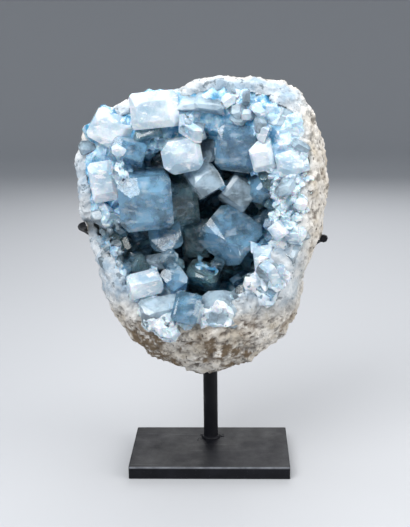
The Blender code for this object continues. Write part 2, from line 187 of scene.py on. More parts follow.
def join_all(pieces, name):
    """Joins some pieces into one, which takes the name."""
    bpy.ops.object.select_all(action="DESELECT")
    for piece in pieces:
        piece.select_set(True)
    bpy.context.view_layer.objects.active = pieces[0]
    bpy.ops.object.join()
    joined = bpy.context.object
    joined.name = name
    return joined


def put_in_place(piece, slot, material, *packed):
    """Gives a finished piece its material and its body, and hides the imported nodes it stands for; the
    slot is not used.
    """
    settle(piece)
    piece.data.materials.clear()
    piece.data.materials.append(material)
    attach(piece, "root")
    if packed:
        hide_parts(*packed)
    print(piece.name, len(piece.data.polygons), "faces")


def displace(piece, name, kind, size, strength, **settings):
    """Adds a texture that moves the surface in and out, in the piece's own space."""
    texture = bpy.data.textures.new(name, kind)
    texture.noise_scale = size
    for key, value in settings.items():
        setattr(texture, key, value)
    modifier = piece.modifiers.new(name, "DISPLACE")
    modifier.texture = texture
    modifier.texture_coords = "LOCAL"
    modifier.strength = strength
    modifier.mid_level = 0.5


print("bench helpers are ready")

# %% [markdown]
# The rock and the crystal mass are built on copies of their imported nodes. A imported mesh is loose
# triangles, so a copy is merged first, and a voxel remesh then gives it an even grid of small faces,
# which textures can push about without tearing.

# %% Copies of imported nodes
MERGE_WITHIN = 0.02 * MM


def copy_of_packed(packed_name, name):
    """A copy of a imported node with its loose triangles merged, free of the frame's own marks."""
    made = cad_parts[packed_name].copy()
    made.data = made.data.copy()
    made.name = name
    for key in list(made.keys()):
        del made[key]
    made.parent = None
    made.hide_render = made.hide_viewport = False
    bpy.context.scene.collection.objects.link(made)
    pick(made)
    bpy.ops.object.mode_set(mode="EDIT")
    bpy.ops.mesh.select_all(action="SELECT")
    bpy.ops.mesh.remove_doubles(threshold=MERGE_WITHIN)
    bpy.ops.object.mode_set(mode="OBJECT")
    return made


def even_grid(piece, size):
    """Adds a voxel remesh with cells of one size."""
    grid = piece.modifiers.new("grid", "REMESH")
    grid.mode = "VOXEL"
    grid.voxel_size = size


print("packed rind:", len(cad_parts["geode_rind"].data.polygons), "triangles")

# %% [markdown]
# A finish reads where it is on the object, not a picture. One node group is shared by all of them:
# patches, which spreads noise in object space from 0 to 1. Its scale sets how small the patches are,
# low and high where they start and are full, and stretch draws them out into streaks.


# %% Patches group
def group_socket(group, name, direction, kind, value=None):
    made = group.interface.new_socket(name=name, in_out=direction, socket_type=kind)
    if value is not None:
        made.default_value = value


def add_node(tree, kind, **values):
    """A node with its plain settings and its unlinked inputs."""
    made = tree.nodes.new(kind)
    for key, value in values.items():
        if key in made.inputs.keys():
            made.inputs[key].default_value = value
        else:
            setattr(made, key, value)
    return made


def build_patches():
    """Group: noise in object space that is spread from 0 to 1, with its edge sharp or soft."""
    group = bpy.data.node_groups.new("patches", "ShaderNodeTree")
    group_socket(group, "Scale", "INPUT", "NodeSocketFloat", 60.0)
    group_socket(group, "Stretch", "INPUT", "NodeSocketVector", (1.0, 1.0, 1.0))
    group_socket(group, "Low", "INPUT", "NodeSocketFloat", 0.4)
    group_socket(group, "High", "INPUT", "NodeSocketFloat", 0.6)
    group_socket(group, "Mask", "OUTPUT", "NodeSocketFloat")
    group_in = group.nodes.new("NodeGroupInput")
    group_out = group.nodes.new("NodeGroupOutput")
    place = group.nodes.new("ShaderNodeTexCoord")
    stretch = add_node(group, "ShaderNodeVectorMath", operation="MULTIPLY")
    cloud = add_node(group, "ShaderNodeTexNoise", Detail=6.0, Roughness=0.6)
    spread = add_node(group, "ShaderNodeMapRange")
    link = group.links.new
    link(place.outputs["Object"], stretch.inputs[0])
    link(group_in.outputs["Stretch"], stretch.inputs[1])
    link(stretch.outputs[0], cloud.inputs["Vector"])
    link(group_in.outputs["Scale"], cloud.inputs["Scale"])
    link(cloud.outputs["Fac"], spread.inputs["Value"])
    link(group_in.outputs["Low"], spread.inputs["From Min"])
    link(group_in.outputs["High"], spread.inputs["From Max"])
    link(spread.outputs["Result"], group_out.inputs["Mask"])
    return group


PATCHES = build_patches()


def patches(tree, scale, low=0.4, high=0.6, stretch=(1.0, 1.0, 1.0)):
    """Places the patches group in a material and gives back its mask."""
    made = tree.nodes.new("ShaderNodeGroup")
    made.node_tree = PATCHES
    made.inputs["Scale"].default_value = scale
    made.inputs["Low"].default_value = low
    made.inputs["High"].default_value = high
    made.inputs["Stretch"].default_value = stretch
    return made.outputs["Mask"]


print("patches group:", len(PATCHES.nodes), "nodes")

# %% [markdown]
# A mask can do four things in a finish: mix two colours, set a number such as the roughness, raise a
# bump, or keep another mask to one part of the object. Each has its helper, so that a finish reads
# like a list of its layers.


# %% Finish helpers
def mixed(tree, mask, first, second):
    """A colour that goes from the first to the second by a mask. Each is a colour or a socket."""
    made = add_node(tree, "ShaderNodeMix", data_type="RGBA")
    tree.links.new(mask, made.inputs["Factor"])
    sockets = [s for s in made.inputs if s.type == "RGBA"]
    for value, socket in zip((first, second), sockets):
        if isinstance(value, tuple):
            socket.default_value = (*value, 1.0)
        else:
            tree.links.new(value, socket)
    return [s for s in made.outputs if s.type == "RGBA"][0]


def ranged(tree, mask, low, high):
    """A number that goes from low to high by a mask."""
    made = add_node(tree, "ShaderNodeMapRange")
    made.inputs["To Min"].default_value = low
    made.inputs["To Max"].default_value = high
    tree.links.new(mask, made.inputs["Value"])
    return made.outputs["Result"]


def bump(tree, height, depth, strength=1.0, under=None):
    """A normal that is raised by a mask, on top of another bump where one is given."""
    made = add_node(tree, "ShaderNodeBump", Strength=strength, Distance=depth)
    tree.links.new(height, made.inputs["Height"])
    if under is not None:
        tree.links.new(under, made.inputs["Normal"])
    return made.outputs["Normal"]


def along(tree, axis, start, full):
    """A mask that is 0 at the first place along an axis, in metres, and 1 at the second."""
    place = tree.nodes.new("ShaderNodeTexCoord")
    split = tree.nodes.new("ShaderNodeSeparateXYZ")
    made = tree.nodes.new("ShaderNodeMapRange")
    made.inputs["From Min"].default_value = start
    made.inputs["From Max"].default_value = full
    tree.links.new(place.outputs["Object"], split.inputs[0])
    tree.links.new(split.outputs[axis], made.inputs["Value"])
    return made.outputs["Result"]


def product(tree, *masks):
    """A mask that shows only where all of the given ones do."""
    made = masks[0]
    for mask in masks[1:]:
        step = add_node(tree, "ShaderNodeMath", operation="MULTIPLY")
        tree.links.new(made, step.inputs[0])
        tree.links.new(mask, step.inputs[1])
        made = step.outputs[0]
    return made


def new_material(name, roughness, **plain):
    """A material, its node tree and its Principled shader, with the shader's plain values set."""
    made = bpy.data.materials.new(name)
    made.use_nodes = True
    tree = made.node_tree
    shader = tree.nodes["Principled BSDF"]
    shader.inputs["Roughness"].default_value = roughness
    for key, value in plain.items():
        shader.inputs[key.replace("_", " ")].default_value = value
    return made, tree, shader


print("finish helpers are ready")

# %% [markdown]
# The rock outside is chalky and pale beige, with grey patches, dark pits and, low down, brown stains.
# At the broken front it turns icy, where crystal dust covers it. Each layer is one mask that mixes
# the next colour in. Painted shade darkens the crevices, where an attribute that the rind stores in
# the next step says they lie deep.

# %% Rock finish
DULL_CHALK = (0.60, 0.54, 0.45)
PALE_CHALK = (0.86, 0.83, 0.78)
STONE_GREY = (0.30, 0.28, 0.25)
STAIN_BROWN = (0.21, 0.155, 0.10)
PIT_BROWN = (0.12, 0.10, 0.08)
# painted shade: the dark brown laid into the crevices
CREVICE_SHADE_BROWN = (0.13, 0.10, 0.08)
ICE_GREY = (0.38, 0.49, 0.59)
ICE_PALE = (0.74, 0.78, 0.81)
ICE_SPECK = (0.20, 0.25, 0.29)
STAINED_UP = (0.165, 0.125)
LIP_Y = (0.012, -0.004)
LIP_X = (0.088, 0.070)
LIP_UP = (0.140, 0.165)


def chalky_rock():
    made, tree, shader = new_material("chalky_rock", 0.9, Specular_IOR_Level=0.25)
    pale = mixed(tree, patches(tree, 60.0, 0.38, 0.58), DULL_CHALK, PALE_CHALK)
    grey = mixed(tree, patches(tree, 110.0, 0.55, 0.64), pale, STONE_GREY)
    spread = product(tree, patches(tree, 30.0, 0.48, 0.56), patches(tree, 130.0, 0.40, 0.52))
    brown = product(tree, spread, along(tree, "Z", *STAINED_UP))
    stained = mixed(tree, brown, grey, STAIN_BROWN)
    pitted = mixed(tree, patches(tree, 190.0, 0.60, 0.65), stained, PIT_BROWN)
    # Painted shade: the crevices, where the rind lies below its neighbours, are darkened.
    crevice = add_node(tree, "ShaderNodeAttribute", attribute_name="crevice")
    crevice_shade = product(tree, crevice.outputs["Fac"], patches(tree, 45.0, 0.36, 0.52))
    dark = mixed(tree, crevice_shade, pitted, CREVICE_SHADE_BROWN)
    plain_ice = mixed(tree, patches(tree, 45.0, 0.42, 0.58), ICE_GREY, ICE_PALE)
    icy = mixed(tree, patches(tree, 160.0, 0.58, 0.64), plain_ice, ICE_SPECK)
    lip = product(tree, along(tree, "Y", *LIP_Y), along(tree, "X", *LIP_X), along(tree, "Z", *LIP_UP))
    tree.links.new(mixed(tree, lip, dark, icy), shader.inputs["Base Color"])
    tree.links.new(ranged(tree, patches(tree, 90.0), 0.72, 0.98), shader.inputs["Roughness"])
    coarse = bump(tree, patches(tree, 170.0, 0.2, 0.8), 1.5 * MM)
    fine = bump(tree, patches(tree, 700.0, 0.2, 0.8), 0.5 * MM, under=coarse)
    tree.links.new(fine, shader.inputs["Normal"])
    return made


CHALKY_ROCK = chalky_rock()
print(CHALKY_ROCK.name, len(CHALKY_ROCK.node_tree.nodes), "nodes")

# %% [markdown]
# The rind is a real shell of rock. Its packed copy gets an even grid, and is then pushed in and out
# by three clouds of texture: broad lumps, small knobs and grit. What lies below its neighbours is
# stored as an attribute, so that the finish can paint shade into the pits and cracks.

# %% Rock rind
RIND_GRID = 1.7 * MM
CREVICE_DEPTH = 1.0 * MM
CREVICE_ROUNDS = 4
ROCK_RELIEF = {"broad_lumps": (17, 7, 2), "small_knobs": (6.5, 5.0, 3), "grit": (2.4, 2.6, 2)}


def mark_crevices(piece):
    """Stores how far each point lies below its neighbours, from 0 to 1, for the painted shade in the pits.
    """
    mesh = piece.data
    count = len(mesh.vertices)
    place = np.zeros(count * 3)
    outward = np.zeros(count * 3)
    mesh.vertices.foreach_get("co", place)
    mesh.vertices.foreach_get("normal", outward)
    place, outward = place.reshape(-1, 3), outward.reshape(-1, 3)
    ends = np.zeros(len(mesh.edges) * 2, int)
    mesh.edges.foreach_get("vertices", ends)
    first, second = ends[0::2], ends[1::2]
    around = place.copy()
    for _ in range(CREVICE_ROUNDS):
        total, seen = np.zeros((count, 3)), np.zeros(count)
        np.add.at(total, first, around[second])
        np.add.at(total, second, around[first])
        np.add.at(seen, first, 1)
        np.add.at(seen, second, 1)
        around = total / np.maximum(seen, 1)[:, None]
    below = np.einsum("ij,ij->i", around - place, outward)
    attribute = mesh.attributes.new("crevice", "FLOAT", "POINT")
    attribute.data.foreach_set("value", np.clip(below / CREVICE_DEPTH, 0.0, 1.0).astype(np.float32))


rind = copy_of_packed("geode_rind", "rock_rind")
even_grid(rind, RIND_GRID)
for name, (size, strength, octaves) in ROCK_RELIEF.items():
    displace(rind, name, "CLOUDS", size * MM, strength * MM, noise_depth=octaves)
apply_modifiers(rind)
bpy.ops.object.shade_smooth()
mark_crevices(rind)
put_in_place(rind, "chalky_rock", CHALKY_ROCK, "geode_rind")

# %% [markdown]
# Celestite is clear: light goes in, is bent strongly and comes out bluer. In Blender that is a
# Transmission Weight, a refractive index of 1.62 and an absorbing volume. Three clear grades, blue,
# pale and teal, have cloudy patches, whitish veins and thin growth lines.

# %% Clear crystal finishes
REFRACTIVE_INDEX = 1.62
DARK_SHARE = 0.36
VEIN_WHITE = (0.74, 0.90, 1.0)
VEIN_STRETCH = (1.0, 0.35, 2.2)
LINE_STRETCH = (1.0, 1.0, 0.12)
LEAST_FROST = 0.07


def clear_celestite(name, tint, pale, clearness, density, frost):
    """One grade of crystal: its absorbing colour, its pale patches, how clear and how frosted it is."""
    made, tree, shader = new_material(name, 0.1, IOR=REFRACTIVE_INDEX, Transmission_Weight=clearness)
    clouds = patches(tree, 60.0, 0.40, 0.60)
    veins = patches(tree, 90.0, 0.52, 0.68, VEIN_STRETCH)
    body = mixed(tree, clouds, tuple(DARK_SHARE * c for c in pale), pale)
    tree.links.new(mixed(tree, veins, body, VEIN_WHITE), shader.inputs["Base Color"])
    frosted = ranged(tree, patches(tree, 75.0, 0.45, 0.7), LEAST_FROST, frost)
    tree.links.new(frosted, shader.inputs["Roughness"])
    lines = bump(tree, patches(tree, 200.0, 0.3, 0.7, LINE_STRETCH), 0.4 * MM, 0.35)
    tree.links.new(lines, shader.inputs["Normal"])
    inside = add_node(tree, "ShaderNodeVolumeAbsorption", Density=density)
    inside.inputs["Color"].default_value = (*tint, 1.0)
    tree.links.new(inside.outputs["Volume"], tree.nodes["Material Output"].inputs["Volume"])
    return made


FINISHES = {
    "blue": clear_celestite(
        "celestite_blue", tint=(0.06, 0.54, 0.86), pale=(0.36, 0.70, 0.95),
        clearness=0.66, density=48.0, frost=0.20,
    ),
    "pale": clear_celestite(
        "celestite_pale", tint=(0.42, 0.72, 0.98), pale=(0.68, 0.87, 1.00),
        clearness=0.50, density=10.0, frost=0.24,
    ),
    "teal": clear_celestite(
        "celestite_teal", tint=(0.10, 0.46, 0.52), pale=(0.46, 0.72, 0.78),
        clearness=0.80, density=50.0, frost=0.18,
    ),
}
print("clear grades:", ", ".join(FINISHES))

# %% [markdown]
# The white crystals of the rim are cloudy with cracks and tiny bubbles, and the mass behind all of
# them is too. No light passes through such crystal: it enters, scatters and comes out again close by,
# which is what Subsurface does. The mass goes from icy at the rim to dark blue-green in the depth,
# where its own teal is darkened by painted shade.

# %% Cloudy crystal finishes
MILK_BLUE = (0.38, 0.52, 0.63)
MILK_WHITE = (0.70, 0.78, 0.83)
MILK_VEIN = (0.80, 0.84, 0.87)
RIM_BLUE = (0.36, 0.50, 0.61)
RIM_WHITE = (0.68, 0.76, 0.81)
RIM_VEIN = (0.84, 0.86, 0.88)
RIM_SPECK = (0.17, 0.25, 0.32)
# painted shade: the depth of the hollow is darkened, over the crystal's own teal
DEEP_SHADE_DARK = (0.03, 0.13, 0.20)
DEEP_SHADED_TEAL = (0.16, 0.38, 0.48)
MIDDLE_BLUE = (0.08, 0.31, 0.53)
MIDDLE_PALE = (0.54, 0.77, 0.92)
MIDDLE_VEIN = (0.90, 0.95, 0.98)
RIM_ENDS_Y = (-0.032, -0.014)
SHADE_STARTS_Y = (-0.014, 0.018)


def milky_celestite():
    """The cloudy grade of the rim: light enters, scatters and comes out again close by."""
    made, tree, shader = new_material(
        "celestite_milky", 0.2, IOR=REFRACTIVE_INDEX, Subsurface_Weight=0.4, Subsurface_Scale=0.006
    )
    clouds = mixed(tree, patches(tree, 55.0, 0.40, 0.60), MILK_BLUE, MILK_WHITE)
    veined = mixed(tree, patches(tree, 110.0, 0.55, 0.62, VEIN_STRETCH), clouds, MILK_VEIN)
    tree.links.new(veined, shader.inputs["Base Color"])
    tree.links.new(ranged(tree, patches(tree, 75.0, 0.45, 0.7), 0.10, 0.40), shader.inputs["Roughness"])
    tree.links.new(bump(tree, patches(tree, 160.0, 0.3, 0.7), 0.6 * MM, 0.5), shader.inputs["Normal"])
    return made


def crust_finish():
    """The grown-together mass behind the crystals: icy at the rim, in the depth teal darkened by painted
    shade.
    """
    made, tree, shader = new_material(
        "celestite_mass", 0.35, IOR=REFRACTIVE_INDEX, Subsurface_Weight=0.3, Subsurface_Scale=0.005
    )
    rim = mixed(tree, patches(tree, 38.0, 0.42, 0.58), RIM_BLUE, RIM_WHITE)
    veined = mixed(tree, patches(tree, 85.0, 0.52, 0.60), rim, RIM_VEIN)
    specked = mixed(tree, patches(tree, 150.0, 0.60, 0.65), veined, RIM_SPECK)
    # Painted shade: the mass is darkened towards the back of the hollow.
    deep_shaded = mixed(tree, patches(tree, 60.0, 0.42, 0.60), DEEP_SHADE_DARK, DEEP_SHADED_TEAL)
    blue = mixed(tree, patches(tree, 75.0, 0.42, 0.58), MIDDLE_BLUE, MIDDLE_PALE)
    middle = mixed(tree, patches(tree, 130.0, 0.55, 0.63), blue, MIDDLE_VEIN)
    inner = mixed(tree, along(tree, "Y", *SHADE_STARTS_Y), middle, deep_shaded)
    shade = mixed(tree, along(tree, "Y", *RIM_ENDS_Y), specked, inner)
    tree.links.new(shade, shader.inputs["Base Color"])
    tree.links.new(ranged(tree, patches(tree, 130.0), 0.10, 0.45), shader.inputs["Roughness"])
    tree.links.new(bump(tree, patches(tree, 200.0, 0.2, 0.8), 1.0 * MM, 0.5), shader.inputs["Normal"])
    return made


FINISHES["milky"] = milky_celestite()
CRYSTAL_MASS = crust_finish()
print("grades:", len(FINISHES), "and", CRYSTAL_MASS.name)

# %% [markdown]
# Behind the crystals lies the mass that they grew from, and a cloudy core fills each large crystal.
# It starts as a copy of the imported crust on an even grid. Away from the rock its surface is drawn
# back under the clear crystals, and close to the rock it stays, as the broad icy rim. Two Voronoi
# textures give it packed crystal ends, and Decimate turns the grid into flat facets.

# %% Crystal mass
MASS_GRID = 1.9 * MM
SOFTEN_ROUNDS = 5
CORE_DEPTH = 6.0 * MM
RIM_WIDTH = 14.0 * MM
WALL_FROM = 8.0 * MM
FACET_SHARE = 0.22
MOUTH_FRONT = -27.0
MOUTH_TURN = 0.10
MOUTH_SLANT = 0.19

rind_shape = bmesh.new()
rind_shape.from_mesh(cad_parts["geode_rind"].data)
RIND_TREE = BVHTree.FromBMesh(rind_shape)
rind_shape.free()


def mouth_depth(place):
    """How far behind the broken front a place lies."""
    x, up = place.x / MM, place.z / MM - GEODE_HEIGHT
    return place.y - (MOUTH_FRONT - MOUTH_TURN * x + MOUTH_SLANT * up) * MM


def draw_back(piece):
    """Moves the surface inwards, more the further it lies from the rock, and off the rock's wall."""
    moved = []
    for vertex in piece.data.vertices:
        share = min(1.0, RIND_TREE.find_nearest(vertex.co)[3] / RIM_WIDTH)
        depth = CORE_DEPTH * share * share
        if mouth_depth(vertex.co) > WALL_FROM and (vertex.co - GEODE_MIDDLE).dot(vertex.normal) > 0:
            depth = CORE_DEPTH
        moved.extend(vertex.co - vertex.normal * depth)
    piece.data.vertices.foreach_set("co", moved)
    piece.data.update()


mass = copy_of_packed("crystal_crust", "crystal_mass")
even_grid(mass, MASS_GRID)
soften = mass.modifiers.new("soften", "SMOOTH")
soften.factor = 0.5
soften.iterations = SOFTEN_ROUNDS
apply_modifiers(mass)
draw_back(mass)
displace(mass, "packed_ends", "VORONOI", 12 * MM, 6 * MM, distance_metric="MANHATTAN")
displace(mass, "small_ends", "VORONOI", 5 * MM, 2.4 * MM, distance_metric="CHEBYCHEV")
facets = mass.modifiers.new("facets", "DECIMATE")
facets.ratio = FACET_SHARE
apply_modifiers(mass)
put_in_place(mass, "celestite", CRYSTAL_MASS, "crystal_crust")

# %% [markdown]
# Six forms cover the crystals that can be told apart. Each form has the share that is cut off its
# long edges, and then the slanted faces that end it: the direction that a face looks in, how far it
# reaches in from that side and how far it drops there, both as shares of the breadth that way.

# %% Crystal forms
FORMS = {
    "chisel": (0.09, ((90, 0.75, 0.5), (270, 0.55, 0.55), (0, 0.12, 0.2), (180, 0.12, 0.2))),
    "blocky": (0.06, ((90, 0.25, 0.18), (270, 0.2, 0.12), (0, 0.2, 0.14), (180, 0.12, 0.12))),
    "pointed": (0.16, ((45, 0.6, 0.45), (135, 0.6, 0.5), (225, 0.55, 0.45), (315, 0.6, 0.5))),
    "hexagon": (0.24, ((90, 0.35, 0.12), (270, 0.35, 0.15), (0, 0.3, 0.1), (180, 0.3, 0.1))),
    "wedge": (0.10, ((90, 0.95, 0.9), (0, 0.4, 0.3), (180, 0.4, 0.35), (270, 0.1, 0.1))),
    "overhung": (0.08, ((270, 0.85, 1.1), (90, 0.25, 0.15), (0, 0.2, 0.2), (180, 0.2, 0.2))),
}
print("forms:", ", ".join(FORMS))

# %% [markdown]
# Each crystal starts as a block at its real size, standing on its root. Bisect cuts off its long
# edges and then the slanted faces that end it, as a lapidary's saw would, and a few small cuts chip
# its corners. Bisect is used because every cut leaves one flat face, as a real crystal has.

# %% Sawing a crystal
LONG_EDGES = (45, 135, 225, 315)
EDGE_SPREAD = (0.5, 1.6)
CHIP_LEAN = (0.5, 1.1)
CHIP_DEPTH = (0.02, 0.07)


def cut(point, normal):
    """Cuts the edited crystal by a plane and closes the cut with one flat face."""
    bpy.ops.mesh.select_all(action="SELECT")
    bpy.ops.mesh.bisect(plane_co=point, plane_no=normal, use_fill=True, clear_outer=True, threshold=1e-6)


def side_and_reach(angle, width, thickness):
    """The direction at an angle round the crystal, and how far the crystal reaches that way."""
    side = Vector((math.cos(math.radians(angle)), math.sin(math.radians(angle)), 0.0))
    return side, (abs(side.x) * width + abs(side.y) * thickness) / 2


def saw_crystal(name, width, thickness, length, form, chips, chance):
    """A crystal that stands on the origin with its end upwards, as one closed mesh with flat faces."""
    edge_share, end_faces = FORMS[form]
    bpy.ops.object.select_all(action="DESELECT")
    bpy.ops.mesh.primitive_cube_add(size=1.0, location=(0.0, 0.0, length / 2))
    made = bpy.context.object
    made.name = name
    made.scale = (width, thickness, length)
    settle(made)
    bpy.ops.object.mode_set(mode="EDIT")
    for corner in LONG_EDGES:
        side, reach = side_and_reach(corner, width, thickness)
        share = edge_share * chance.uniform(*EDGE_SPREAD)
        cut(side * (reach - share * min(width, thickness)), side)
    for angle, run, drop in end_faces:
        side, reach = side_and_reach(angle, width, thickness)
        run_in, drop_down = 2 * run * reach, 2 * drop * reach
        normal = (side * drop_down + Vector((0.0, 0.0, run_in))).normalized()
        cut(side * reach + Vector((0.0, 0.0, length - drop_down)), normal)
    for _ in range(chips):
        turn, lean = chance.uniform(0, 2 * math.pi), chance.uniform(*CHIP_LEAN)
        normal = Vector((math.cos(turn) * math.cos(lean), math.sin(turn) * math.cos(lean), math.sin(lean)))
        furthest = max(vertex.co.dot(normal) for vertex in bmesh.from_edit_mesh(made.data).verts)
        cut(normal * (furthest - chance.uniform(*CHIP_DEPTH) * width), normal)
    bpy.ops.mesh.select_all(action="SELECT")
    bpy.ops.mesh.normals_make_consistent(inside=False)
    bpy.ops.object.mode_set(mode="OBJECT")
    return made


print("chips lean by", CHIP_LEAN, "radians")

# %% [markdown]
# A sawn crystal is laid from its root to its tip. It then gets one small facet that turns towards the
# key lamp and the camera, because a few bright flashes are what makes crystal look like crystal. A
# narrow bevel then gives each edge its own thin line of light, as worn edges have.

# %% Laying and finishing a crystal
GLINT_WAY = Vector((-0.222, -0.855, 0.468))
GLINT_SPREAD = 0.07
BEVEL_FROM = math.radians(12)


def lay(piece, root, tip, twist):
    """Lays a standing crystal from its root to its tip, turned about its own length by the twist."""
    way = (tip - root).to_track_quat("Z", "Y")
    piece.rotation_mode = "QUATERNION"
    piece.rotation_quaternion = way @ Euler((0.0, 0.0, math.radians(twist))).to_quaternion()
    piece.location = root
    settle(piece)


def flash_facet(piece, depth, chance):
    """Cuts one small facet that turns towards the key lamp and the camera, so that it flashes."""
    pick(piece)
    normal = (GLINT_WAY + Vector(chance.gauss(0, GLINT_SPREAD) for _ in range(3))).normalized()
    furthest = max(vertex.co.dot(normal) for vertex in piece.data.vertices)
    bpy.ops.object.mode_set(mode="EDIT")
    cut(normal * (furthest - depth), normal)
    bpy.ops.object.mode_set(mode="OBJECT")


def bevel_edges(piece, width):
    edge = piece.modifiers.new("glint", "BEVEL")
    edge.width = width
    edge.segments = 1
    edge.limit_method = "ANGLE"
    edge.angle_limit = BEVEL_FROM
    apply_modifiers(piece)


print("facets turn by up to about", round(math.degrees(2 * GLINT_SPREAD)), "degrees")

# %% [markdown]
# These are the places, sizes and turns of the crystals that can be told apart: tip and root as X, Y
# and height over the geode's middle, then width, thickness, twist, form and grade. They are those of
# the imported model, save that four crystals have deeply cut long edges here, as the form named hexagon,
# and that two of these four are 1 to 2 mm wider. They are chosen one by one, so they stay a list.

# %% Large crystals
LARGE_CRYSTALS = {
    "great_block": ((-49, -49, 24), (-58, 6, 30), 44, 45, 4, "blocky", "blue"),
    "upper_left_blue": ((-66, -40, 63), (-64, 2, 72), 29, 22, -18, "chisel", "blue"),
    "centre_pale": ((-20, -40, 62), (-22, 12, 66), 33, 28, 10, "hexagon", "milky"),
    "diagonal": ((6, -34, 33), (-20, 14, 56), 24, 24, 30, "chisel", "pale"),
    "upper_right_big": ((24, -34, 66), (30, 24, 80), 33, 39, -8, "blocky", "blue"),
    "right_white": ((45, -38, 62), (52, 2, 66), 19, 25, 14, "blocky", "milky"),
    "right_prism": ((46, -26, 21), (42, 14, 60), 21, 20, 35, "pointed", "blue"),
    "small_striped": ((23, -28, 24), (30, 20, 34), 25, 28, -38, "chisel", "pale"),
    "centre_block": ((16, -38, -4), (26, 28, -14), 43, 46, -36, "chisel", "blue"),
    "top_a": ((-17, -34, 93), (-16, 4, 106), 26, 22, 8, "overhung", "pale"),
    "top_b": ((1, -37, 94), (2, 2, 106), 25, 23, -10, "overhung", "pale"),
    "top_c": ((14, -28, 92), (10, 8, 108), 13, 24, -24, "wedge", "pale"),
    "top_left_block": ((-42, -40, 101), (-43, 4, 98), 40, 30, 5, "blocky", "milky"),
    "pale_hexagon": ((27, -25, 94), (34, 16, 96), 19, 15, 0, "hexagon", "milky"),
    "top_blue": ((21, -20, 106), (22, 10, 108), 20, 20, 20, "chisel", "blue"),
    "slender": ((-3, -22, 56), (8, 8, 88), 16, 9, 15, "wedge", "pale"),
    "radial_a": ((54, -37, 88), (66, 6, 94), 30, 27, -30, "pointed", "pale"),
    "radial_b": ((68, -33, 82), (74, 2, 84), 24, 26, 12, "blocky", "milky"),
    "low_wedge": ((-35, -31, -11), (-38, 8, 4), 28, 18, 12, "wedge", "blue"),
    "dark_face": ((-11, -6, -12), (-10, 34, -14), 24, 34, 0, "blocky", "teal"),
    "low_left_smooth": ((-28, -38, -37), (-31, 4, -62), 23, 22, -12, "hexagon", "blue"),
    "low_left_pale": ((-50, -46, -38), (-62, -2, -62), 28, 22, 10, "chisel", "milky"),
    "knob": ((-84, -28, -25), (-80, 6, -31), 18, 21, 20, "hexagon", "pale"),
    "rim_slab_a": ((-36, -53, -60), (-42, -8, -78), 38, 24, 8, "chisel", "pale"),
    "rim_slab_b": ((-17, -55, -58), (-20, -8, -80), 22, 26, -15, "blocky", "blue"),
    "rim_dome": ((11, -56, -55), (12, -8, -82), 42, 30, -6, "pointed", "pale"),
    "ramp": ((43, -52, -42), (56, -2, -64), 27, 27, -28, "chisel", "blue"),
    "right_low_a": ((46, -42, -22), (62, 0, -32), 17, 24, 12, "blocky", "milky"),
    "right_low_b": ((60, -45, -13), (76, -4, -20), 25, 26, -20, "chisel", "pale"),
    "right_low_c": ((72, -42, 1), (80, -4, -6), 20, 20, 24, "blocky", "pale"),
    "grey_low": ((-3, -26, -30), (-4, 14, -58), 28, 24, -20, "wedge", "teal"),
    "glassy": ((-24, -32, -23), (-54, -6, -34), 13, 14, 30, "pointed", "pale"),
    "green": ((-20, -17, 19), (-28, 24, 20), 26, 36, 6, "blocky", "teal"),
    "white_upper_left": ((-79, -31, 84), (-84, 4, 82), 34, 28, -30, "blocky", "milky"),
    "mid_left_top": ((-46, -33, 71), (-50, 6, 78), 24, 28, 16, "overhung", "teal"),
    "white_left": ((-86, -31, 42), (-92, 2, 36), 22, 34, 8, "blocky", "milky"),
    "white_right": ((70, -42, 58), (74, -6, 54), 26, 20, 16, "blocky", "milky"),
    "grains_right": ((70, -43, 28), (76, -6, 24), 28, 34, -14, "pointed", "milky"),
}
CRYSTAL_SETBACK = 8.0
CRYSTAL_LEAN = 0.07
CRYSTAL_BEVEL = 0.7 * MM
CHIPS = 4
FLASH_DEPTH = (0.02, 0.08)


def in_geode(x, y, up):
    """A point given by its height over the geode's middle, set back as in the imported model."""
    return Vector((x, y + CRYSTAL_SETBACK + CRYSTAL_LEAN * up, GEODE_HEIGHT + up)) * MM


chance = random.Random(11)
large_crystals = bmesh.new()
for name, (tip, root, width, thickness, twist, form, grade) in LARGE_CRYSTALS.items():
    tip, root = in_geode(*tip), in_geode(*root)
    width, thickness, length = width * MM, thickness * MM, (tip - root).length
    made = saw_crystal("crystal_" + name, width, thickness, length, form, CHIPS, chance)
    lay(made, root, tip, twist)
    flash_facet(made, chance.uniform(*FLASH_DEPTH) * width, chance)
    bevel_edges(made, CRYSTAL_BEVEL)
    put_in_place(made, "celestite", FINISHES[grade])
    large_crystals.from_mesh(made.data)
LARGE_TREE = BVHTree.FromBMesh(large_crystals)
large_crystals.free()
print("large crystals:", len(LARGE_CRYSTALS))

# %% [markdown]
# Between the large crystals sit hundreds of small ones: most line the hollow, two bands of fine
# grains cover its right and left shoulders, and a few stand on the rim. Five small crystals are cut
# once, as patterns, because nobody can tell a few hundred copies from as many different crystals.

# %% Patterns for small crystals
PATTERN_FORMS = ("blocky", "chisel", "pointed", "wedge", "pointed")
PATTERN_THINNEST = 0.7
PATTERN_STEP = 0.1
PATTERN_LENGTH = 1.7
PATTERN_BEVEL = 0.012

PATTERNS = []
for index, form in enumerate(PATTERN_FORMS):
    thickness = PATTERN_THINNEST + PATTERN_STEP * index
    pattern = saw_crystal(f"pattern_{index}", 1.0, thickness, PATTERN_LENGTH, form, 1, chance)
    bevel_edges(pattern, PATTERN_BEVEL)
    PATTERNS.append(pattern)
print("patterns:", len(PATTERNS))

# %% [markdown]
# A small crystal stands on a facet of the mass, wherever that facet isn't inside a large crystal.
# Four tests say which facets belong to the rim, the two bands of grains and the hollow. A facet's
# normal tells which way it looks: towards the camera is negative Y.

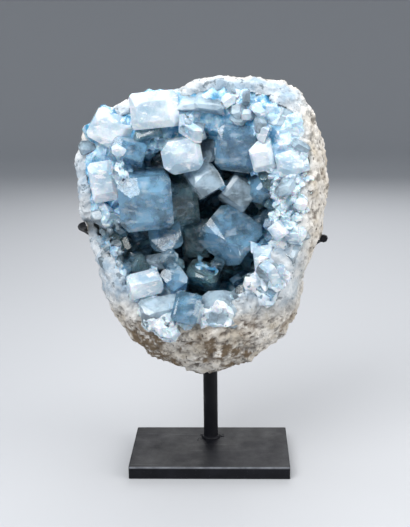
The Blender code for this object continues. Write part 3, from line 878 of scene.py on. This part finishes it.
# %% Where small crystals stand
CLEAR_OF_LARGE = 2 * MM
RIM_DEPTH = 9 * MM
RIM_NORMAL_Y = -0.45
RIM_FROM_HEIGHT = 0.160
RIGHT_GRAINS_X = 0.055
RIGHT_GRAINS_BAND = (0.240, 0.024, -0.01)
LEFT_GRAINS_X = -0.050
LEFT_GRAINS_BAND = (0.205, 0.020, 0.005)
GRAINS_NORMAL_Y = 0.2
HOLLOW_FROM = 5 * MM
HOLLOW_INWARD = 0.2


def is_open(place):
    """Whether a place on the mass lies outside every large crystal, with a little room to spare."""
    nearest, normal, _, distance = LARGE_TREE.find_nearest(place)
    return distance > CLEAR_OF_LARGE and (place - nearest).dot(normal) > 0


def on_rim(place, normal):
    return mouth_depth(place) < RIM_DEPTH and normal.y < RIM_NORMAL_Y and place.z > RIM_FROM_HEIGHT


def in_band(place, normal, middle, half, front):
    """Whether a facet lies in a band of heights, in front of a depth, and isn't turned to the back."""
    return abs(place.z - middle) < half and place.y < front and normal.y < GRAINS_NORMAL_Y


def right_grains(place, normal):
    return place.x > RIGHT_GRAINS_X and in_band(place, normal, *RIGHT_GRAINS_BAND)


def left_grains(place, normal):
    return place.x < LEFT_GRAINS_X and in_band(place, normal, *LEFT_GRAINS_BAND)


def in_hollow(place, normal):
    inward = (GEODE_MIDDLE - place).normalized().dot(normal)
    return mouth_depth(place) > HOLLOW_FROM and inward > HOLLOW_INWARD


spots = [(face.center.copy(), face.normal.copy()) for face in mass.data.polygons if is_open(face.center)]
print("open facets:", len(spots))

# %% [markdown]
# Each copy has its own mesh, size, slimness and lean, and is sunk into the mass by a share of its
# size, so that it looks grown and not dropped. The copies are then joined into a few pieces, because
# hundreds of single objects would make the model heavy to handle.

# %% Small crystals
SLIMNESS = (0.7, 1.15)
STRETCH = (0.8, 1.3)
TURN_LIMIT = 6.28


def stand_copy(name, place, normal, size, sink, lean, chance):
    """One copy of a pattern that stands on a facet, leaning a little off its normal."""
    pattern = chance.choice(PATTERNS)
    tilt = Vector((chance.gauss(0, lean), chance.gauss(0, lean), chance.gauss(0, lean)))
    way = (normal + tilt).normalized()
    turn = Euler((0.0, 0.0, chance.uniform(0, TURN_LIMIT))).to_quaternion()
    turned = (way.to_track_quat("Z", "Y") @ turn).to_matrix().to_4x4()
    slim = chance.uniform(*SLIMNESS)
    sized = Matrix.Diagonal((size, size * slim, size * chance.uniform(*STRETCH), 1.0))
    shape = pattern.data.copy()
    shape.transform(Matrix.Translation(place - way * size * sink) @ turned @ sized)
    made = bpy.data.objects.new(name, shape)
    bpy.context.scene.collection.objects.link(made)
    return made


def scatter(name, count, belongs, sizes, sink, lean, grade, seed):
    """Stands copies of the patterns on the mass wherever the test allows, and joins them."""
    chance = random.Random(seed)
    usable = [spot for spot in spots if belongs(*spot)]
    copies = []
    for index in range(count):
        place, normal = chance.choice(usable)
        size = chance.uniform(*sizes) * MM
        copies.append(stand_copy(f"{name}_{index}", place, normal, size, sink, lean, chance))
    put_in_place(join_all(copies, name), "celestite", FINISHES[grade])


scatter("rim_crystals", 22, on_rim, (9, 14), sink=0.95, lean=0.2, grade="milky", seed=3)
scatter("rim_pale_crystals", 16, on_rim, (9, 14), sink=0.95, lean=0.2, grade="pale", seed=4)
scatter("hollow_crystals", 110, in_hollow, (7, 13), sink=0.75, lean=0.4, grade="blue", seed=5)
scatter("hollow_teal_crystals", 70, in_hollow, (7, 12), sink=0.75, lean=0.4, grade="teal", seed=6)
scatter("right_grains", 170, right_grains, (2.5, 5.5), sink=0.5, lean=0.5, grade="milky", seed=7)
scatter("left_grains", 110, left_grains, (2.5, 5), sink=0.5, lean=0.5, grade="pale", seed=8)
for pattern in PATTERNS:
    bpy.data.objects.remove(pattern)

# %% [markdown]
# The stand is mild steel with a satin black coat. Its imported meshes are right as they are, so they
# only get a finish: black, a little blue, with dust and faint scratches. Along the plate's front
# edge a paler line is a painted highlight.

# %% Steel finish
COAT_DARK = (0.0035, 0.004, 0.006)
COAT_LIGHT = (0.008, 0.0085, 0.012)
DUST_GREY = (0.07, 0.07, 0.08)
SCRATCH_GREY = (0.04, 0.04, 0.045)
# painted highlight: the paler line along the plate's front edge
EDGE_HIGHLIGHT_GREY = (0.17, 0.18, 0.20)
SCRATCH_STRETCH = (0.15, 6.0, 1.0)
HIGHLIGHT_EDGE_Y = (-0.0436, -0.0442)
HIGHLIGHT_EDGE_UP = (0.0095, 0.0100)
STEEL_NODES = ("base_plate", "post", "left_claw_rod", "right_claw_rod")


def black_steel():
    made, tree, shader = new_material("black_steel", 0.42, Specular_IOR_Level=0.18)
    paint = mixed(tree, patches(tree, 35.0), COAT_DARK, COAT_LIGHT)
    dusty = mixed(tree, patches(tree, 900.0, 0.66, 0.72), paint, DUST_GREY)
    scratched = mixed(tree, patches(tree, 60.0, 0.655, 0.70, SCRATCH_STRETCH), dusty, SCRATCH_GREY)
    # Painted highlight: a paler line along the top of the plate's front edge.
    painted_edge_highlight = product(
        tree, along(tree, "Y", *HIGHLIGHT_EDGE_Y), along(tree, "Z", *HIGHLIGHT_EDGE_UP),
        ranged(tree, patches(tree, 90.0, 0.35, 0.6), 0.5, 1.0),
    )
    tree.links.new(mixed(tree, painted_edge_highlight, scratched, EDGE_HIGHLIGHT_GREY), shader.inputs["Base Color"])
    tree.links.new(ranged(tree, patches(tree, 55.0, 0.3, 0.7), 0.40, 0.60), shader.inputs["Roughness"])
    tree.links.new(bump(tree, patches(tree, 1300.0, 0.2, 0.8), 0.1 * MM, 0.5), shader.inputs["Normal"])
    return made


BLACK_STEEL = black_steel()
for name in STEEL_NODES:
    steel_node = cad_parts[name]
    steel_node.data.materials.clear()
    steel_node.data.materials.append(BLACK_STEEL)
print("painted:", ", ".join(STEEL_NODES))

# %% [markdown]
# The post is welded to the plate. The weld shows as an uneven bead round its foot: a torus, rippled
# by a fine texture and half sunk into post and plate, gives that with little work.

# %% Weld bead
POST_FOOT = Vector((0.0, 22.0, 11.0)) * MM
POST_RADIUS = 6.5 * MM
BEAD_RADIUS = 1.7 * MM
BEAD_OUT = 0.5 * MM
BEAD_UP = 0.6 * MM

bpy.ops.object.select_all(action="DESELECT")
bpy.ops.mesh.primitive_torus_add(
    location=POST_FOOT + Vector((0.0, 0.0, BEAD_UP)), major_segments=72, minor_segments=16,
    major_radius=POST_RADIUS + BEAD_OUT, minor_radius=BEAD_RADIUS,
)
weld = bpy.context.object
weld.name = "post_weld"
displace(weld, "weld_ripples", "CLOUDS", 3 * MM, 1.2 * MM)
apply_modifiers(weld)
bpy.ops.object.shade_smooth()
put_in_place(weld, "black_steel", BLACK_STEEL)

# %% [markdown]
# Welding throws drops of steel about, which freeze on the plate under the paint. Each is a small ball
# pressed flat. More of them lie close to the post than far from it, so the random share of the
# distance is squared.

# %% Weld spatter
DROP_COUNT = 22
NEAREST_DROP = 8.5
DROPS_REACH = 9.0
DROP_SIZES = (0.7, 1.9)
DROP_NARROWNESS = (0.6, 1.0)
DROP_FLATNESS = 0.35

chance = random.Random(9)
drops = []
for index in range(DROP_COUNT):
    turn = chance.uniform(0.0, 2.0 * math.pi)
    reach = (NEAREST_DROP + DROPS_REACH * chance.random() ** 2) * MM
    centre = POST_FOOT + Vector((math.cos(turn) * reach, math.sin(turn) * reach, 0.0))
    size = chance.uniform(*DROP_SIZES) * MM
    bpy.ops.object.select_all(action="DESELECT")
    bpy.ops.mesh.primitive_ico_sphere_add(subdivisions=2, radius=size, location=centre)
    drop = bpy.context.object
    drop.name = f"drop_{index}"
    drop.scale = (1.0, chance.uniform(*DROP_NARROWNESS), DROP_FLATNESS)
    settle(drop)
    drops.append(drop)
spatter = join_all(drops, "weld_spatter")
bpy.ops.object.shade_smooth()
put_in_place(spatter, "black_steel", BLACK_STEEL)
